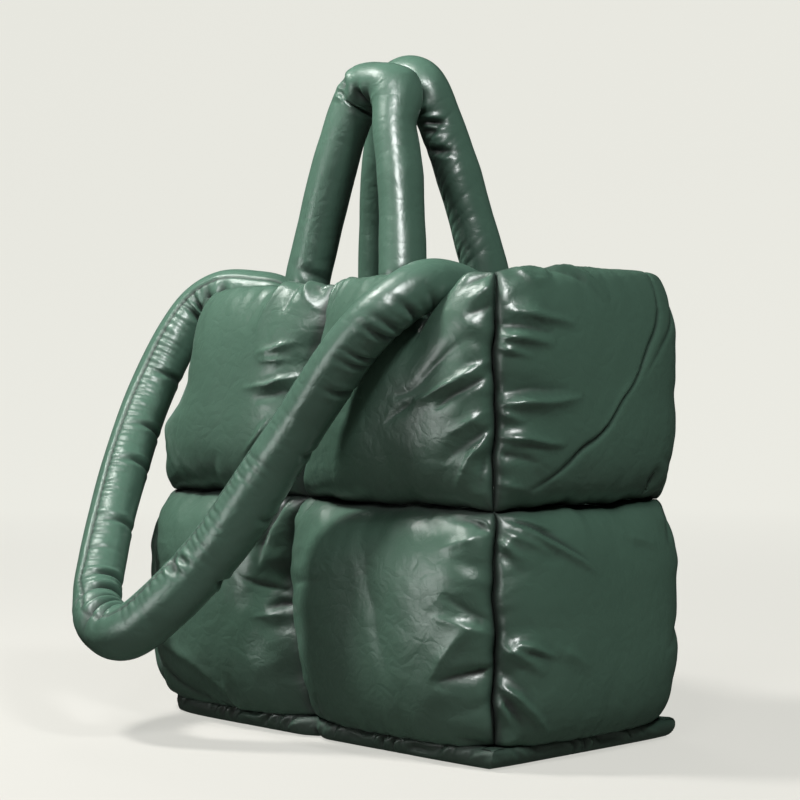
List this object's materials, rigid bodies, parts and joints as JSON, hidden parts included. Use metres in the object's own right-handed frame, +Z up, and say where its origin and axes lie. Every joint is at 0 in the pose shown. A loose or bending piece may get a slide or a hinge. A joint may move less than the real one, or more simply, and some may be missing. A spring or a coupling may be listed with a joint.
{
  "type": "puffer tote bag",
  "caption": "Quilted puffer tote bag with padded tiles, a padded base, short stuffed handles and a long stuffed shoulder strap.",
  "frame": {"origin": "on the ground under the middle of the base panel", "axes": "+Z up, the front faces -Y, the right end faces +X"},
  "size_m": [0.5433, 0.3998, 0.5885],
  "materials": {
    "shell": "smooth coated nylon over soft padding, satin to glossy, dark bottle green",
    "tube": "the same coated nylon stuffed into tubes, satin to glossy, dark bottle green"
  },
  "bodies": {
    "root": {"front_left_lower": "shell", "front_left_upper": "shell", "front_right_lower": "shell", "front_right_upper": "shell", "right_end_lower": "shell", "right_end_upper": "shell", "back_right_lower": "shell", "back_right_upper": "shell", "back_left_lower": "shell", "back_left_upper": "shell", "left_end_lower": "shell", "left_end_upper": "shell", "base_panel": "shell", "front_handle": "tube", "back_handle": "tube", "shoulder_strap": "tube"}
  },
  "joints": []
}
